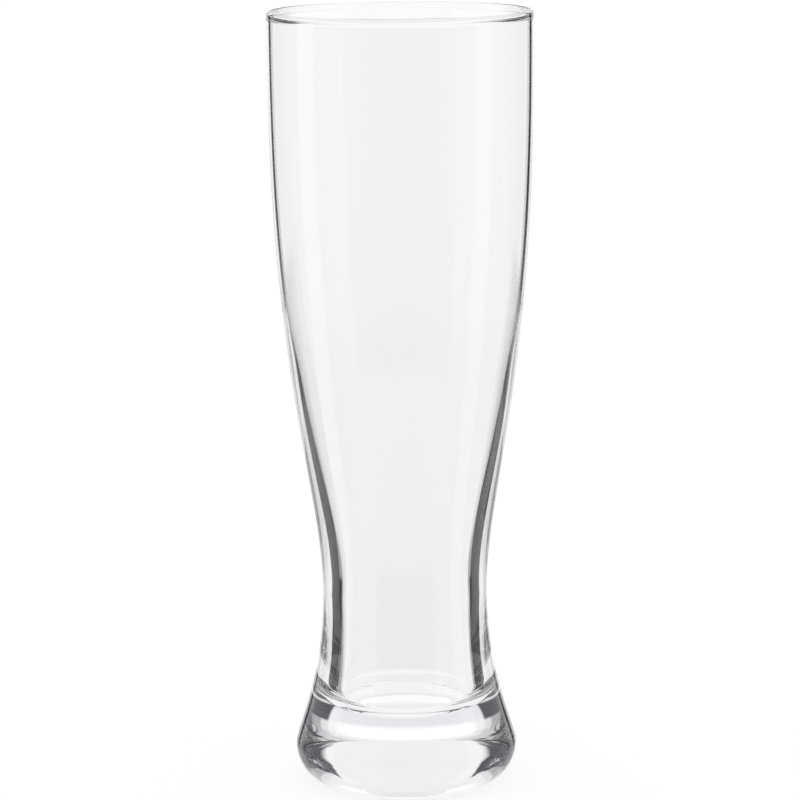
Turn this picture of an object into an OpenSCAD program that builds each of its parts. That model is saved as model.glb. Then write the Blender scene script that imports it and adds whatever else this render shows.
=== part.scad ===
// Tall beer glass with a narrow waist and a thick solid foot.
// The origin is on the table, under the middle of the foot, and +Z runs up the axis of the glass.
// A blown bowl stands on a pressed foot, and the two are melted together at the top of the foot.

/* [Rim] */
// Height of the glass, from the table to the rim
glass_h = 242.5; // [225:0.5:275]
// Outer diameter of the rim
rim_d = 82; // [76:0.5:96]
// Thickness of the wall at the rim, which is melted to a round edge
rim_wall = 1.2; // [1:0.1:2.4]
// Reach of the nearly straight outer wall under the rim
rim_run = 57; // [40:1:70]

/* [Shoulder] */
// Outer diameter at the shoulder, where the upper wall starts to draw in
shoulder_d = 72; // [66:0.5:78]
// Height of the shoulder above the table
shoulder_z = 137.5; // [125:0.5:150]
// Lean of the outer wall at the shoulder, in degrees from upright
shoulder_lean = 6.2; // [4:0.1:10]
// Reach of that lean above and below the shoulder
shoulder_run = 29.5; // [15:0.5:36]
// Thickness of the wall at the shoulder
shoulder_wall = 3; // [2:0.1:5]

/* [Waist] */
// Outer diameter at the waist, the narrowest place
waist_d = 51.5; // [47:0.5:58]
// Height of the waist above the table
waist_z = 60.5; // [52:0.5:70]
// Reach of the waist's curve upwards
waist_rise = 20.5; // [10:0.5:28]
// Reach of the waist's curve downwards, into the flare of the foot
waist_fall = 28; // [14:0.5:32]
// Thickness of the wall at the waist
waist_wall = 6.1; // [4:0.1:9]

/* [Inside] */
// Distance by which the inner wall turns below the outer shoulder
inner_drop = 5; // [0:0.5:10]
// Lean of the inner wall at that turn, in degrees from upright
inner_lean = 10.6; // [8:0.1:15]
// Reach of the nearly straight inner wall under the rim
inner_rim_run = 19; // [10:1:60]
// Reach of the inner lean above and below its turn
inner_run = 39.5; // [15:0.5:45]
// Height of the throat, the narrowest place inside, above the waist outside
throat_rise = 0; // [0:0.5:8]
// Reach of the throat's curve upwards
throat_run = 15.5; // [5:0.5:20]
// Reach of the throat's curve downwards, into the well
throat_fall = 25; // [10:0.5:28]
// Diameter of the well, the lowest part of the inside
well_d = 41.8; // [36:0.2:44]
// Reach of the well's upright wall above its corner
well_run = 3.4; // [1:0.1:6]
// Radius of the round corner between the well and the floor
well_corner = 6.7; // [3:0.1:9]
// Thickness of glass under the floor of the bowl
floor_wall = 4.5; // [2.5:0.1:7]

/* [Foot] */
// Height of the pressed foot, up to where the bowl is melted on
foot_h = 18; // [15:0.5:24]
// Largest outer diameter of the foot
foot_d = 69.7; // [64:0.1:78]
// Height of that largest diameter above the table
heel_z = 11.4; // [8:0.1:13]
// Reach of the foot's upright edge upwards
heel_rise = 4.2; // [2:0.1:8]
// Reach of the foot's upright edge downwards
heel_fall = 5.1; // [3:0.1:7]
// Outer diameter of the ring that the glass stands on
seat_d = 54; // [48:0.5:60]
// Width of that ring
seat_w = 1.2; // [1:0.1:5]
// Slope at which the round heel meets the table, in degrees
seat_slope = 20; // [8:1:40]
// Reach of that slope
seat_run = 5; // [2:0.1:7]
// Depth of the hollow under the foot
push_up = 6.5; // [2:0.1:8]
// Slope at which the hollow rises from the ring towards its roof, in degrees
hollow_slope = 52; // [30:1:70]
// Reach of the hollow's level roof
roof_run = 14.5; // [6:0.5:20]

/* [Hidden] */
$fn = 192;
// Steps along a long and along a short curve of the outline
LONG = 24;
SHORT = 12;
// Colour of the clear glass
GLASS = [0.86, 0.9, 0.91, 0.45];

rim_r = rim_d / 2;
rim_z = glass_h - rim_wall / 2;
floor_z = foot_h + floor_wall;
seat_r = seat_d / 2;
hollow_r = seat_r - seat_w;

// Named places on the outline, each a radius and a height
rim_out = [rim_r, rim_z];
rim_in = [rim_r - rim_wall, rim_z];
shoulder = [shoulder_d / 2, shoulder_z];
turn = [shoulder_d / 2 - shoulder_wall, shoulder_z - inner_drop];
waist = [waist_d / 2, waist_z];
throat = [waist_d / 2 - waist_wall, waist_z + throat_rise];
well = [well_d / 2, floor_z + well_corner];
heel = [foot_d / 2, heel_z];
seat = [seat_r, 0];
seat_in = [hollow_r, 0];

// Point at the share t of a curve with two end points and two handles
function bez(p, t) =
    pow(1 - t, 3) * p[0] + 3 * pow(1 - t, 2) * t * p[1] + 3 * (1 - t) * t * t * p[2] + pow(t, 3) * p[3];
// Points along a curve, from the share a to the share b
function along(p, n, a = 0, b = 1) = [for (i = [0:n]) bez(p, a + (b - a) * i / n)];
// Share at which a falling curve reaches the height z, found by halving
function share(p, z, a = 0, b = 1, k = 40) =
    k == 0 ? (a + b) / 2
    : bez(p, (a + b) / 2)[1] > z ? share(p, z, (a + b) / 2, b, k - 1)
    : share(p, z, a, (a + b) / 2, k - 1);
// Points of an arc about c, from the angle a to the angle b
function arc(c, r, a, b, n) = [for (i = [0:n]) let (w = a + (b - a) * i / n) c + r * [cos(w), sin(w)]];
// Points of a curve without the first one, to follow a curve that ends there
function rest(p) = [for (i = [1:len(p) - 1]) p[i]];
function reversed(p) = [for (i = [len(p) - 1:-1:0]) p[i]];
// Steps straight up, and up and out along a wall that leans by the angle w
function up(d) = [0, d];
function lean(w, d) = d * [sin(w), cos(w)];

// Outer curves: rim to shoulder, shoulder to waist, waist to the edge of the foot, and round its heel
upper_out = [rim_out, rim_out - up(rim_run), shoulder + lean(shoulder_lean, shoulder_run), shoulder];
lower_out = [shoulder, shoulder - lean(shoulder_lean, shoulder_run), waist + up(waist_rise), waist];
flare_out = [waist, waist - up(waist_fall), heel + up(heel_rise), heel];
heel_out = [heel, heel - up(heel_fall), seat + seat_run * [cos(seat_slope), sin(seat_slope)], seat];
// Curve of the hollow, from the ring to the axis
hollow_out = [seat_in, seat_in + push_up * [-1 / tan(hollow_slope), 1], [roof_run, push_up], up(push_up)];
// Share of the flare that belongs to the bowl
weld = share(flare_out, foot_h);
// Inner curves: rim to the turn of the wall, turn to throat, throat to well
upper_in = [rim_in, rim_in - up(inner_rim_run), turn + lean(inner_lean, inner_run), turn];
lower_in = [turn, turn - lean(inner_lean, inner_run), throat + up(throat_run), throat];
well_in = [throat, throat - up(throat_fall), well + up(well_run), well];

rim_edge = arc((rim_in + rim_out) / 2, rim_wall / 2, 180, 0, SHORT);
outer_wall = concat(
    along(upper_out, LONG),
    rest(along(lower_out, LONG)),
    rest(along(flare_out, LONG, 0, weld))
);
inner_wall = concat(
    along(upper_in, LONG),
    rest(along(lower_in, LONG)),
    rest(along(well_in, SHORT)),
    rest(arc(well - [well_corner, 0], well_corner, 0, -90, SHORT))
);
heel_edge = concat(
    along(flare_out, SHORT, weld, 1),
    rest(along(heel_out, SHORT))
);

// Blown bowl, with its shoulder, its waist, and the well inside down to a closed floor
module bowl() {
    color(GLASS)
        rotate_extrude()
            polygon(concat(
                rim_edge, rest(outer_wall), [up(foot_h), up(floor_z)], reversed(rest(inner_wall))
            ));
}

// Pressed solid foot, with a round heel, a ring to stand on and a flat-roofed hollow under it
module foot() {
    color(GLASS)
        rotate_extrude()
            polygon(concat([up(foot_h)], heel_edge, along(hollow_out, SHORT)));
}

bowl();
foot();
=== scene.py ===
# %% [markdown]
# A tall clear beer glass, turned from one outline, on a white table in a bright studio. The solid model comes first:
# it gives the room that the glass may take up.

# %% Load the solid model
from math import cos, radians, sin

import bmesh
import bpy
from mathutils import Euler, Matrix


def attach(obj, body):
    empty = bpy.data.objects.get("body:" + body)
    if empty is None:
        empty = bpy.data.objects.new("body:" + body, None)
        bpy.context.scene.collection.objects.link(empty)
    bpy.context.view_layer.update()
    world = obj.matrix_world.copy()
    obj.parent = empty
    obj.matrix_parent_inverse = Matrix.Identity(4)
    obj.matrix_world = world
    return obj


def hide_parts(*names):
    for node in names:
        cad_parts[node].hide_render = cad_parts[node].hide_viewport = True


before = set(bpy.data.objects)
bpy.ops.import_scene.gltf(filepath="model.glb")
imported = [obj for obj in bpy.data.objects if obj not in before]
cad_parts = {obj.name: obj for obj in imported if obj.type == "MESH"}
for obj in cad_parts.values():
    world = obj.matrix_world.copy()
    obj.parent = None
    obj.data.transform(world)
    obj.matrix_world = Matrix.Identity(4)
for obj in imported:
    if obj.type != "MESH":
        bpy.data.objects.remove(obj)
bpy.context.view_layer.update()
MM = 0.001

# %% [markdown]
# The glass is seen from a little above and from about a metre away, through a long lens: the rim is a narrow ellipse
# and the walls hardly converge. A camera can be aimed with a constraint at a target, but then its tilt is hidden in the
# target's place. Here the tilt and the small lean to the side are written down, so the camera can be read from its own
# numbers.

# %% Camera
EYE_MM = (0.0, -1072.0, 315.6)
TILT = 10.28
ROLL = -0.511
camera = bpy.data.objects.new("camera", bpy.data.cameras.new("camera"))
camera.data.sensor_width = 36.0
camera.data.lens = 157.06
camera.data.shift_x = -0.0041
turn = Euler((radians(90 - TILT), 0.0, 0.0)).to_matrix() @ Matrix.Rotation(radians(ROLL), 3, "Z")
camera.matrix_world = Matrix.Translation([v * MM for v in EYE_MM]) @ turn.to_4x4()
bpy.context.scene.collection.objects.link(camera)
bpy.context.scene.camera = camera
print("camera at", [round(v, 3) for v in camera.location], "lens", camera.data.lens)

# %% [markdown]
# The clear glass has no colour of its own to speak of. What the eye reads is the bending of light: the refractive
# index of soda-lime glass, 1.52, does most of the work. A volume gives the faint cool tint of thick glass, so the
# foot and the edges tint more than the thin wall, which a tinted surface would not do.

# %% Clear glass
glass = bpy.data.materials.new("clear_glass")
glass.use_nodes = True
nodes, links = glass.node_tree.nodes, glass.node_tree.links
shader = nodes["Principled BSDF"]
shader.inputs["Base Color"].default_value = (1.0, 1.0, 1.0, 1.0)
shader.inputs["Roughness"].default_value = 0.0
shader.inputs["IOR"].default_value = 1.52
shader.inputs["Transmission Weight"].default_value = 1.0
tint = nodes.new("ShaderNodeVolumeAbsorption")
tint.inputs["Color"].default_value = (0.92, 0.921, 0.93, 1.0)
tint.inputs["Density"].default_value = 20.0
links.new(tint.outputs[0], nodes["Material Output"].inputs["Volume"])
print("glass of index", round(shader.inputs["IOR"].default_value, 2))

# %% [markdown]
# Glass that was turned while it was soft keeps faint rings, most of all where it is thick. They are a few thousandths
# of a millimetre high, so modelled rings would only add faces. Noise that is squeezed along the axis gives rings that
# never repeat, and a bump carries them. They fade out between the floor of the bowl and the waist.

# %% Ring ripples
RIPPLE_HEIGHT = 0.012 * MM
FADE_FROM, FADE_TO = 22 * MM, 60 * MM
place = nodes.new("ShaderNodeTexCoord")
squeezed = nodes.new("ShaderNodeMapping")
squeezed.inputs["Scale"].default_value = (25.0, 25.0, 700.0)
links.new(place.outputs["Object"], squeezed.inputs["Vector"])
ripple = nodes.new("ShaderNodeTexNoise")
ripple.inputs["Scale"].default_value = 1.0
ripple.inputs["Detail"].default_value = 1.0
links.new(squeezed.outputs["Vector"], ripple.inputs["Vector"])
axes = nodes.new("ShaderNodeSeparateXYZ")
links.new(place.outputs["Object"], axes.inputs[0])
fade = nodes.new("ShaderNodeMapRange")
for name, value in (("From Min", FADE_FROM), ("From Max", FADE_TO), ("To Min", 1.0), ("To Max", 0.06)):
    fade.inputs[name].default_value = value
links.new(axes.outputs["Z"], fade.inputs["Value"])
relief = nodes.new("ShaderNodeMath")
relief.operation = "MULTIPLY"
links.new(ripple.outputs["Fac"], relief.inputs[0])
links.new(fade.outputs["Result"], relief.inputs[1])
bump = nodes.new("ShaderNodeBump")
bump.inputs["Distance"].default_value = RIPPLE_HEIGHT
links.new(relief.outputs[0], bump.inputs["Height"])
links.new(bump.outputs["Normal"], shader.inputs["Normal"])
print("ripples up to", round(RIPPLE_HEIGHT / MM, 3), "mm high, in a material of", len(nodes), "nodes")

# %% [markdown]
# The whole glass is one outline turned about its axis. A Screw modifier could turn it, but a node tree keeps every
# place of the outline as a named input, so a wider rim or a thicker waist is one number. Each input is a vector: the
# first number is a radius and the last one a height. A place is a point of the outline, and a reach is the handle
# that a curve leaves it with. The outer wall comes first, from the rim over the shoulder to the narrow waist.

# %% Sizes of the outer wall
tree = bpy.data.node_groups.new("turned_glass", "GeometryNodeTree")
tree.is_modifier = True
tree.interface.new_socket("Geometry", in_out="OUTPUT", socket_type="NodeSocketGeometry")
settings = {}


def size(name, radius, height):
    socket = tree.interface.new_socket(name, in_out="INPUT", socket_type="NodeSocketVector")
    settings[socket.identifier] = (radius * MM, 0.0, height * MM)


def leaning(name, degrees, length):
    size(name, length * sin(radians(degrees)), length * cos(radians(degrees)))


size("Rim outside", 41.0, 241.3)
size("Rim outside reach", 0, 57)
size("Shoulder", 36.0, 137.5)
leaning("Shoulder reach", 6.2, 29.5)
size("Waist", 25.75, 60.5)
size("Waist rise", 0, 20.5)
size("Waist fall", 0, 28)
print("outer wall:", len(settings), "named sizes")

# %% [markdown]
# The foot is pressed: it has a round heel, a narrow ring to stand on, and a hollow under it with a nearly flat roof.
# That roof is what shows as an even pale panel through the front of the foot. A round dome would break the panel up.

# %% Sizes of the foot
size("Heel", 34.85, 11.4)
size("Heel rise", 0, 4.2)
size("Heel fall", 0, 5.1)
size("Seat outside", 27.0, 0)
leaning("Seat reach", 70, 5)
size("Seat inside", 25.8, 0)
size("Hollow reach", -5.08, 6.5)
size("Hollow", 0, 6.5)
size("Hollow crown", 14.5, 0)
print("with the foot:", len(settings), "named sizes")

# %% [markdown]
# The rim was melted after it was cut, and a melted edge draws together to a bead that is thicker than the wall below.
# Here it swells inwards. Under it the inner wall draws in more steeply than the outer one, so the wall thickens towards
# the waist, and then it opens a little into the well, which has a round corner and a flat floor.

# %% Sizes of the rim and the inside
size("Neck", 39.8, 239.7)
size("Neck reach", 0, 15)
size("Neck rise", 0, 0.8)
size("Bead", 38.9, 241.4)
size("Bead fall", 0, 0.6)
size("Bead round", 0, 1.55)
size("Rim round", 0, 1.52)
size("Turn", 33.0, 132.5)
leaning("Turn reach", 10.6, 39.5)
size("Throat", 19.65, 60.5)
size("Throat rise", 0, 15.5)
size("Throat fall", 0, 25)
size("Well", 20.9, 29.2)
size("Well rise", 0, 3.4)
size("Corner rise", 0, 3.7)
size("Corner run", 3.7, 0)
size("Floor edge", 14.2, 22.5)
size("Floor", 0, 22.5)
print("in all:", len(settings), "named sizes")

# %% [markdown]
# Every stretch of the outline is a Bezier segment between two places, and it leaves each one along a reach. Two
# stretches that meet share the place and the reach, one forwards and one backwards, so the wall runs on without a kink.

# %% One stretch of the outline
given = tree.nodes.new("NodeGroupInput")
outline = tree.nodes.new("GeometryNodeJoinGeometry")


def reach(name):
    if name.startswith("-"):
        back = tree.nodes.new("ShaderNodeVectorMath")
        back.operation = "SCALE"
        back.inputs["Scale"].default_value = -1.0
        tree.links.new(given.outputs[name[1:]], back.inputs[0])
        return back.outputs[0]
    return given.outputs[name]


def stretch(start, leaves, arrives, end, steps):
    curve = tree.nodes.new("GeometryNodeCurvePrimitiveBezierSegment")
    curve.mode = "OFFSET"
    curve.inputs["Resolution"].default_value = steps
    tree.links.new(given.outputs[start], curve.inputs["Start"])
    tree.links.new(given.outputs[end], curve.inputs["End"])
    for name, socket in ((leaves, "Start Handle"), (arrives, "End Handle")):
        curve.inputs[socket].default_value = (0, 0, 0)
        if name:
            tree.links.new(reach(name), curve.inputs[socket])
    tree.links.new(curve.outputs["Curve"], outline.inputs["Geometry"])
    return steps


print("inputs to draw with:", len(given.outputs) - 1)

# %% [markdown]
# The stretches run down the outside, round the heel, along the seat and up into the hollow to the axis. Then they start
# again in the middle of the floor and run up the inside, over the bead, back to where they began. Long curves have more
# steps than short ones, because a flat step in a glass wall shows as a streak of light.

# %% Stretches of the outline
steps = sum((
    stretch("Rim outside", "-Rim outside reach", "Shoulder reach", "Shoulder", 64),
    stretch("Shoulder", "-Shoulder reach", "Waist rise", "Waist", 64),
    stretch("Waist", "-Waist fall", "Heel rise", "Heel", 56),
    stretch("Heel", "-Heel fall", "Seat reach", "Seat outside", 32),
    stretch("Seat outside", None, None, "Seat inside", 4),
    stretch("Seat inside", "Hollow reach", "Hollow crown", "Hollow", 20),
    stretch("Floor", None, None, "Floor edge", 8),
    stretch("Floor edge", "Corner run", "-Corner rise", "Well", 20),
    stretch("Well", "Well rise", "-Throat fall", "Throat", 32),
    stretch("Throat", "Throat rise", "-Turn reach", "Turn", 56),
    stretch("Turn", "Turn reach", "-Neck reach", "Neck", 56),
    stretch("Neck", "Neck rise", "-Bead fall", "Bead", 16),
    stretch("Bead", "Bead round", "Rim round", "Rim outside", 24),
))
print("outline of", steps, "steps")

# %% [markdown]
# A potter's wheel in nodes: Curve to Mesh carries the outline round a circle. The outline lies on its side for that,
# measured from the circle and not from the axis. Where it meets the axis it gives one point per step round, and where
# two stretches meet it gives every point twice, so points in the same place are merged into a closed skin.

# %% Turning
AROUND = 192
WHEEL = 50 * MM


def follow(kind, geometry, **values):
    node = tree.nodes.new("GeometryNode" + kind)
    tree.links.new(geometry, node.inputs[0])
    for name, value in values.items():
        node.inputs[name.replace("_", " ")].default_value = value
    return node.outputs[0]


wheel = tree.nodes.new("GeometryNodeCurvePrimitiveCircle")
wheel.inputs["Resolution"].default_value = AROUND
wheel.inputs["Radius"].default_value = WHEEL
laid = follow("Transform", outline.outputs[0], Translation=(-WHEEL, 0, 0), Rotation=(radians(90), 0, 0))
skin = tree.nodes.new("GeometryNodeCurveToMesh")
tree.links.new(wheel.outputs["Curve"], skin.inputs["Curve"])
tree.links.new(laid, skin.inputs["Profile Curve"])
closed = follow("MergeByDistance", skin.outputs[0], Distance=0.002 * MM)
smooth = follow("SetShadeSmooth", closed, Shade_Smooth=True)
real = follow("RealizeInstances", smooth)
done = follow("SetMaterial", real, Material=glass)
tree.links.new(done, tree.nodes.new("NodeGroupOutput").inputs["Geometry"])
print("tree of", len(tree.nodes), "nodes")

# %% [markdown]
# The tree runs once and its result becomes a plain mesh, because only plain meshes travel to other programs. Its faces
# are turned outwards, also inside the bowl, where outwards is towards the beer: a ray of light has to know on which
# side the glass is.

# %% Mesh of the glass
piece = bpy.data.objects.new("glass", bpy.data.meshes.new("outline"))
bpy.context.scene.collection.objects.link(piece)
turned = piece.modifiers.new("turned", "NODES")
turned.node_group = tree
for identifier, value in settings.items():
    turned[identifier] = value
evaluated = piece.evaluated_get(bpy.context.evaluated_depsgraph_get())
piece.data = bpy.data.meshes.new_from_object(evaluated)
piece.modifiers.clear()

mesh = bmesh.new()
mesh.from_mesh(piece.data)
bmesh.ops.recalc_face_normals(mesh, faces=mesh.faces)
open_edges = sum(len(edge.link_faces) != 2 for edge in mesh.edges)
print("triangles:", sum(len(f.verts) - 2 for f in mesh.faces), "open edges:", open_edges,
      "glass in ml:", round(mesh.calc_volume(signed=True) * 1e6, 1))
mesh.to_mesh(piece.data)
mesh.free()

# %% [markdown]
# The bowl and the foot are one melt of glass, with no face between them that light could meet. So one piece stands
# for both solids, and it rides on the only body there is.

# %% Stand in for the solids
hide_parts("bowl", "foot")
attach(piece, "root")
print("materials:", [m.name for m in piece.data.materials])

# %% [markdown]
# A white table without an edge. Most of its white is its own, and a share of it is lit, so the foot still leaves a soft
# shadow. Rays that have met the glass go past the table to the studio behind it.

# %% Table
FAR = 6.0
LEVEL = -0.02 * MM
table = bpy.data.meshes.new("table")
table.from_pydata([(-FAR, -FAR, LEVEL), (FAR, -FAR, LEVEL), (FAR, FAR, LEVEL), (-FAR, FAR, LEVEL)], [],
                  [(0, 1, 2, 3)])
table_top = bpy.data.objects.new("table", table)
bpy.context.scene.collection.objects.link(table_top)
table_top.visible_transmission = table_top.visible_glossy = False
white = bpy.data.materials.new("white_table")
white.use_nodes = True
lit = white.node_tree.nodes["Principled BSDF"]
lit.inputs["Base Color"].default_value = (0.15, 0.15, 0.15, 1.0)
lit.inputs["Roughness"].default_value = 1.0
lit.inputs["Specular IOR Level"].default_value = 0.0
lit.inputs["Emission Color"].default_value = (1.0, 1.0, 1.0, 1.0)
lit.inputs["Emission Strength"].default_value = 0.86
table.materials.append(white)
print("table", 2 * FAR, "m wide")

# %% [markdown]
# Two low round screens stand about the foot, one around the other. They are clear, and they only count: Blender adds
# one to a ray's Transparent Depth for each clear face on its way. A ray that leaves the foot goes through both, one
# that leaves the wall just above it through one, and one from the upper wall through none. The studio below asks for
# that, because the foot and the upper wall look in the same directions and still show different things.

# %% Counting screens
SIDES = 96
BELOW = -60
SCREENS = ((75, 60), (80, 28))
places, faces = [], []
for radius, top in SCREENS:
    first = len(places)
    for z in (BELOW, top):
        for k in range(SIDES):
            angle = radians(360 * k / SIDES)
            places.append((radius * MM * sin(angle), radius * MM * cos(angle), z * MM))
    for k in range(SIDES):
        after = (k + 1) % SIDES
        faces.append((first + k, first + after, first + after + SIDES, first + k + SIDES))
screens = bpy.data.meshes.new("low_screen")
screens.from_pydata(places, [], faces)
screen = bpy.data.objects.new("low_screen", screens)
bpy.context.scene.collection.objects.link(screen)
screen.visible_camera = screen.visible_shadow = screen.visible_diffuse = False
clear = bpy.data.materials.new("clear_screen")
clear.use_nodes = True
nodes, links = clear.node_tree.nodes, clear.node_tree.links
links.new(nodes.new("ShaderNodeBsdfTransparent").outputs[0], nodes["Material Output"].inputs["Surface"])
screens.materials.append(clear)
print(len(SCREENS), "screens of", len(screens.polygons), "faces")

# %% [markdown]
# Clear glass on white is lit from behind: a white wall fills the middle of the view, and dark screens beside it are
# what the edges of the glass bend into sight. Without them the glass would vanish. Screens and lamps could be built as
# objects, but all that the glass shows of them is a direction, so the studio is written as directions in the world, in
# degrees: bearing from straight back, to the right, and height over the table.

# %% Directions in the studio
world = bpy.data.worlds.new("studio")
bpy.context.scene.world = world
world.use_nodes = True
nodes, links = world.node_tree.nodes, world.node_tree.links
nodes.clear()


def maths(operation, *values):
    node = nodes.new("ShaderNodeMath")
    node.operation = operation
    for socket, value in zip(node.inputs, values):
        if isinstance(value, (int, float)):
            socket.default_value = value
        else:
            links.new(value, socket)
    return node.outputs[0]


split = nodes.new("ShaderNodeSeparateXYZ")
links.new(nodes.new("ShaderNodeTexCoord").outputs["Generated"], split.inputs[0])
bearing = maths("DEGREES", maths("ARCTAN2", split.outputs["X"], split.outputs["Y"]))
height = maths("DEGREES", maths("ARCSINE", split.outputs["Z"]))
print("directions from", len(nodes), "nodes")

# %% [markdown]
# A panel is a range of bearings and a range of heights with one tone and a soft border, like a sheet of card or a
# softbox. Panels are hung in order over a plain room, and a later one covers those before it. Many come in pairs, one
# on each side.

# %% Panels
ALL = (-400, 400)
UP, DOWN = 100, -100


def between(angle, low, high, soft):
    shares = []
    for edge, start, end in ((low, 0.0, 1.0), (high, 1.0, 0.0)):
        step = nodes.new("ShaderNodeMapRange")
        step.interpolation_type = "SMOOTHSTEP"
        links.new(angle, step.inputs["Value"])
        limits = ("From Min", edge - soft / 2), ("From Max", edge + soft / 2), ("To Min", start), ("To Max", end)
        for name, value in limits:
            step.inputs[name].default_value = value
        shares.append(step.outputs["Result"])
    return maths("MULTIPLY", *shares)


def mix(share, under, over):
    node = nodes.new("ShaderNodeMix")
    node.data_type = "RGBA"
    links.new(share, node.inputs["Factor"])
    for socket, value in ((node.inputs[6], under), (node.inputs[7], over)):
        if isinstance(value, tuple):
            socket.default_value = value
        else:
            links.new(value, socket)
    return node.outputs[2]


def panels(room, rows):
    for left, right, low, high, tone, soft in rows:
        share = maths("MULTIPLY", between(bearing, left, right, soft), between(height, low, high, soft))
        room = mix(share, room, tone)
    return room


def both(near, far, low, high, tone, soft):
    return (-far, -near, low, high, tone, soft), (near, far, low, high, tone, soft)


def grey(tone):
    return (tone, tone, tone, 1.0)


print("a pair of panels:", both(25, 32, -60, 30, grey(0.75), 3))

# %% [markdown]
# What a ray met on its way tells where in the glass it has been, and the Light Path node counts it: Glossy Depth is
# how often it was thrown back, Transmission Depth how often it went in or out, and Transparent Depth how many of the
# screens about the foot it went through.

# %% What a ray met
path = nodes.new("ShaderNodeLightPath")


def more_than(count, kind):
    return maths("GREATER_THAN", path.outputs[kind + " Depth"], count + 0.5)


reflected = more_than(0, "Glossy")
twice = more_than(1, "Glossy")
caught = more_than(3, "Glossy")
long = more_than(18, "Glossy")
deep = more_than(41, "Glossy")
entered = more_than(0, "Transmission")
crossed = more_than(3, "Transmission")
low_down = more_than(0, "Transparent")
lowest = more_than(1, "Transparent")
print("studio of", len(nodes), "nodes so far")

# %% [markdown]
# A mirror image on the outside of the glass shows the room in front and at the sides. A tall soft lamp stands on each
# side, which gives the long pale streaks down the bowl, and a thin dark stand beside the white wall gives each streak
# its border. The stands fade out downwards.

# %% Room that the outside mirrors
BLACK = (0.02, 0.021, 0.028, 1.0)
UPRIGHT = (-60, 30)
STAND = (25, 32)
outside = panels(grey(0.3), (
    (-152, -104, *UPRIGHT, grey(0.55), 34),
    (104, 150, *UPRIGHT, grey(0.5), 34),
    (-100, -80, *UPRIGHT, grey(1.2), 7),
    (94, 113, *UPRIGHT, grey(1.15), 7),
    (-78, -40, *UPRIGHT, grey(0.6), 6),
    (40, 92, *UPRIGHT, grey(0.6), 6),
    (-42, 42, *UPRIGHT, grey(1.0), 12),
    *both(*STAND, *UPRIGHT, grey(0.75), 3),
    *both(*STAND, -15, 30, grey(0.5), 3),
    *both(*STAND, -12, 30, grey(0.25), 3),
    *both(*STAND, -9, 30, BLACK, 3),
))
print("studio of", len(nodes), "nodes so far")

# %% [markdown]
# A ray that is thrown back inside the thick wall or the foot looks far to the side. There it finds the dark screens,
# which draw the dark bands down the edges of the bowl. One that the roof of the hollow throws up looks over them: white
# in the middle, for the pale panel in the foot, and dark beside it.

# %% Room seen after being thrown back
DARK = (0.065, 0.067, 0.078, 1.0)
PANEL_WHITE = (1.02, 1.02, 1.03, 1.0)
within = panels(grey(0.35), (
    (-130, 130, -40, 6, grey(0.97), 6),
    (-68, -27, -40, -12.5, grey(0.36), 3),
    (22, 57, -40, -12.5, grey(0.45), 3),
    (-51, -25.5, -40, -20.5, BLACK, 2),
    (21.5, 50, -40, -20.5, BLACK, 2),
    (-57, -27, -21.5, -12.5, BLACK, 2),
    (21.5, 52.5, -21.5, -12.5, BLACK, 2),
    (-36, -21, -13.5, 6, BLACK, 2),
    (17, 36, -13.5, 6, BLACK, 2),
    (*ALL, 8, UP, grey(0.5), 4),
    (-110, 110, 3, UP, DARK, 4),
    (-32, 33.5, 19.5, UP, grey(0.55), 3),
    (-27.5, 28.3, 3, UP, PANEL_WHITE, 3),
    (*ALL, DOWN, -33, grey(1.0), 6),
))
print("studio of", len(nodes), "nodes so far")

# %% [markdown]
# Thrown back only once, a ray has come from the roof of the hollow or from one wall. Seen from the side or from behind,
# the pale panel of the foot needs its own white part of the room, so it is hung here, over the room before.

# %% Room seen after being thrown back once
once = panels(within, (
    *both(66, 400, 3, UP, grey(0.4), 14),
    (-120, -68, 3, UP, grey(0.95), 18),
    (105, 165, 3, UP, grey(0.95), 12),
    (*ALL, 36, UP, grey(0.95), 6),
))
print("studio of", len(nodes), "nodes so far")

# %% [markdown]
# A ray that is bent in and out once has gone through the foot, or through the far wall above the rim. The foot is a
# strong lens: it shows the white wall as a bright band, with a cooler band above it and a dark patch at each end. The
# thin wall bends hardly at all, so it only dims the white a little.

# %% Room seen through the foot and through one wall
COOL_WHITE = (0.92, 0.928, 0.953, 1.0)
straight = panels(grey(0.95), (
    (-78, 78, DOWN, UP, DARK, 20),
    (-54, 54, -12, UP, grey(0.48), 8),
    (-42, 42, -12, UP, grey(0.85), 3),
    (-36, 36, DOWN, UP, grey(1.0), 3),
    (-28, 28, -8, 9, grey(1.25), 9),
    (-36, 36, -24, -11, COOL_WHITE, 3),
    (-72, -36, -24, -9, DARK, 3),
    (36, 62, -30, -9, DARK, 3),
    (*ALL, DOWN, -27, grey(0.85), 3),
))
one_wall = panels(straight, (
    (-30, 30, DOWN, UP, grey(0.99), 4),
    (*ALL, DOWN, -14, grey(0.99), 3),
))
print("studio of", len(nodes), "nodes so far")

# %% [markdown]
# A ray through both walls of the bowl finds plain white. It turns a little darker towards the edges, where the walls
# bend it aside, and a little cooler lower down. A ray that is also thrown back between the walls finds about the same.

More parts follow.
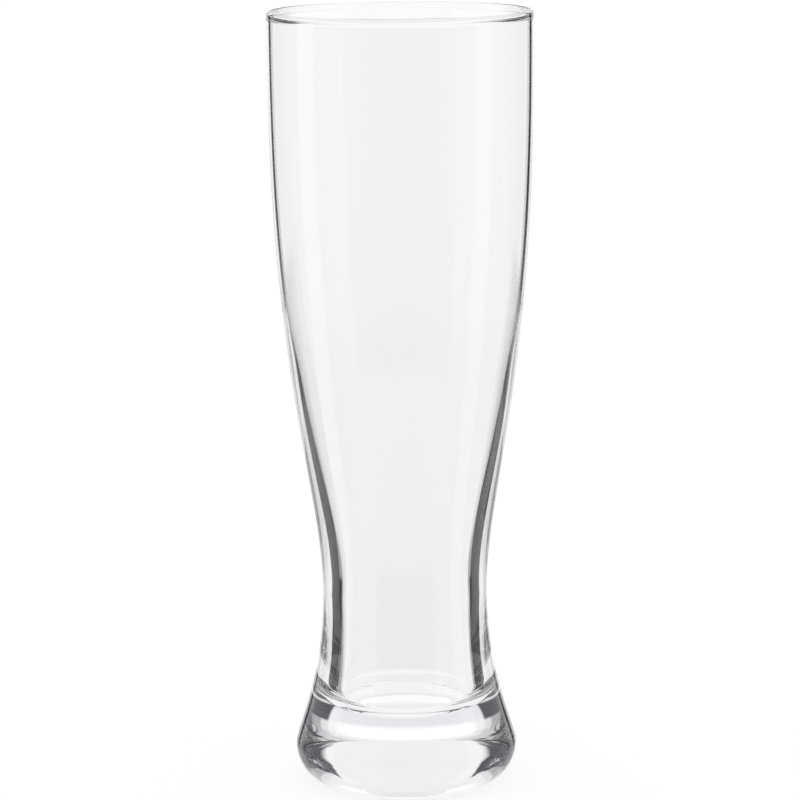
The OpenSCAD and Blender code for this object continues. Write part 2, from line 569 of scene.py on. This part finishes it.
# %% Room seen through both walls
SIDE = (-9.5, 30)
LOW_WHITE = (0.893, 0.895, 0.912, 1.0)
both_walls = panels(grey(0.94), (
    *both(5.5, 60, *SIDE, grey(0.89), 4),
    *both(9, 60, *SIDE, grey(0.83), 5),
    *both(19, 60, *SIDE, grey(0.12), 6),
    (*ALL, DOWN, -11, LOW_WHITE, 10),
    (*ALL, DOWN, -42, grey(1.0), 8),
))
inside_bowl = panels(grey(0.95), ((*ALL, 15, UP, grey(1.15), 8),))
print("studio of", len(nodes), "nodes so far")

# %% [markdown]
# At the very edge a ray is caught in the wall and thrown back many times, like light in a fibre, and it comes out far
# from where it went in. These rays draw the fine light and dark lines along the outline. The more often a ray was
# thrown back, the nearer it is to the edge, so the count chooses the tone. In the foot they end in the dark.

# %% Rays caught in the wall
FOOT_DARK = grey(0.12)
turned_back = panels(grey(0.35), ((*ALL, 13, UP, grey(0.9), 6),))
trapped = panels(grey(0.9), ((*ALL, -8, UP, DARK, 6),))
run_down = panels(DARK, ((*ALL, DOWN, 17, grey(1.0), 3),))
in_wall = mix(deep, mix(long, turned_back, trapped), run_down)
held = mix(caught, mix(twice, once, within), mix(lowest, in_wall, FOOT_DARK))
print("studio of", len(nodes), "nodes so far")

# %% [markdown]
# Now every ray gets its room. One that met nothing sees plain white, which is also the light on the table.

# %% The whole studio
bent = mix(entered, grey(1.0), mix(crossed, mix(low_down, one_wall, straight), both_walls))
thrown = mix(entered, outside, mix(crossed, held, inside_bowl))
light = nodes.new("ShaderNodeBackground")
links.new(mix(reflected, bent, thrown), light.inputs["Color"])
links.new(light.outputs[0], nodes.new("ShaderNodeOutputWorld").inputs["Surface"])
print("studio of", len(nodes), "nodes")

# %% [markdown]
# Light may bounce many times inside thick glass before it leaves. The limits on its path go up, so no spot turns black
# because its ray was cut short. Colours are shown as they are, without a film look.

# %% Picture
scene = bpy.context.scene
scene.view_settings.view_transform = "Standard"
scene.cycles.max_bounces = 80
scene.cycles.glossy_bounces = 64
scene.cycles.transmission_bounces = 24
print("bounces:", scene.cycles.max_bounces)

# %% [markdown]
# Last, the height of the top of the finished glass is printed. It should agree with the solid model, since the outline
# has the same sizes as the solids.

# %% Height of the glass
print("top of the glass in mm:", round(max(v.co.z for v in piece.data.vertices) / MM, 2))
